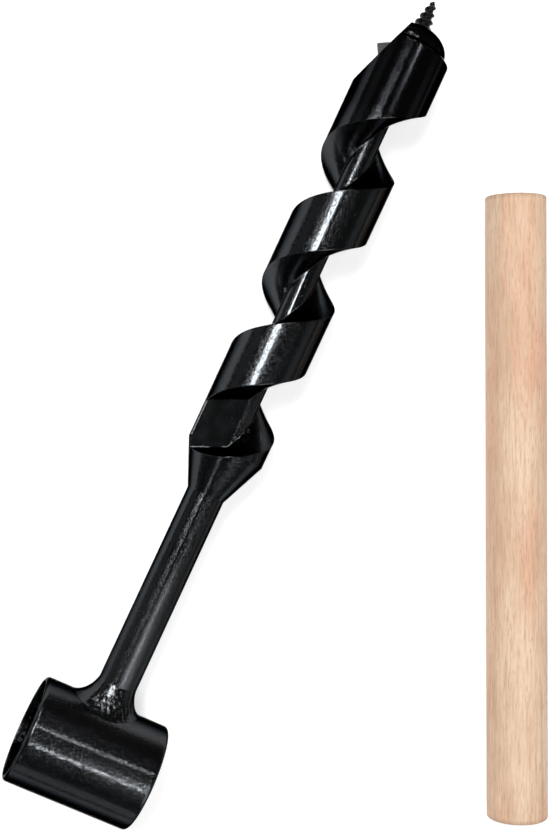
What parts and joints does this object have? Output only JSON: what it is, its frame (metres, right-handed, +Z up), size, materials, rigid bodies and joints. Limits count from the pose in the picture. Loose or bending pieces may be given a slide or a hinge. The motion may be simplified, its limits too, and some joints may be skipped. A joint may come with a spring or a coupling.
{
  "type": "hand auger",
  "caption": "Hand auger for boring wood: eye tube, round shank, single-flute twist and screw point, with a loose round wooden handle beside it.",
  "frame": {"origin": "middle of the eye's bore, on its axis", "axes": "+X along the eye's bore, +Y along the auger from the eye towards its point, +Z up; the auger and its handle lie on a surface 16.5 mm below the origin"},
  "size_m": [0.1681, 0.2747, 0.033],
  "materials": {
    "black_steel": "gloss black finish on turned and milled steel, with slight pitting",
    "weld_steel": "lumpy weld metal under the same black finish",
    "bare_steel": "ground steel, thinly blackened",
    "screw_steel": "blackened steel thread, worn on the crests",
    "handle_wood": "bare pale hardwood, sanded, fine lengthwise grain with short pores"
  },
  "bodies": {
    "auger": {"eye_tube": "black_steel", "eye_weld_bead": "weld_steel", "shank": "black_steel", "neck_cone": "black_steel", "twist": "black_steel", "cutter_head": "black_steel", "scoring_spur": "bare_steel", "lead_screw": "screw_steel"},
    "handle": {"handle": "handle_wood"}
  },
  "joints": [
    {"name": "handle_lift", "type": "slide", "parent": "auger", "child": "handle", "axis": [0, 0, 1], "range_m": [0, 0.1]}
  ]
}
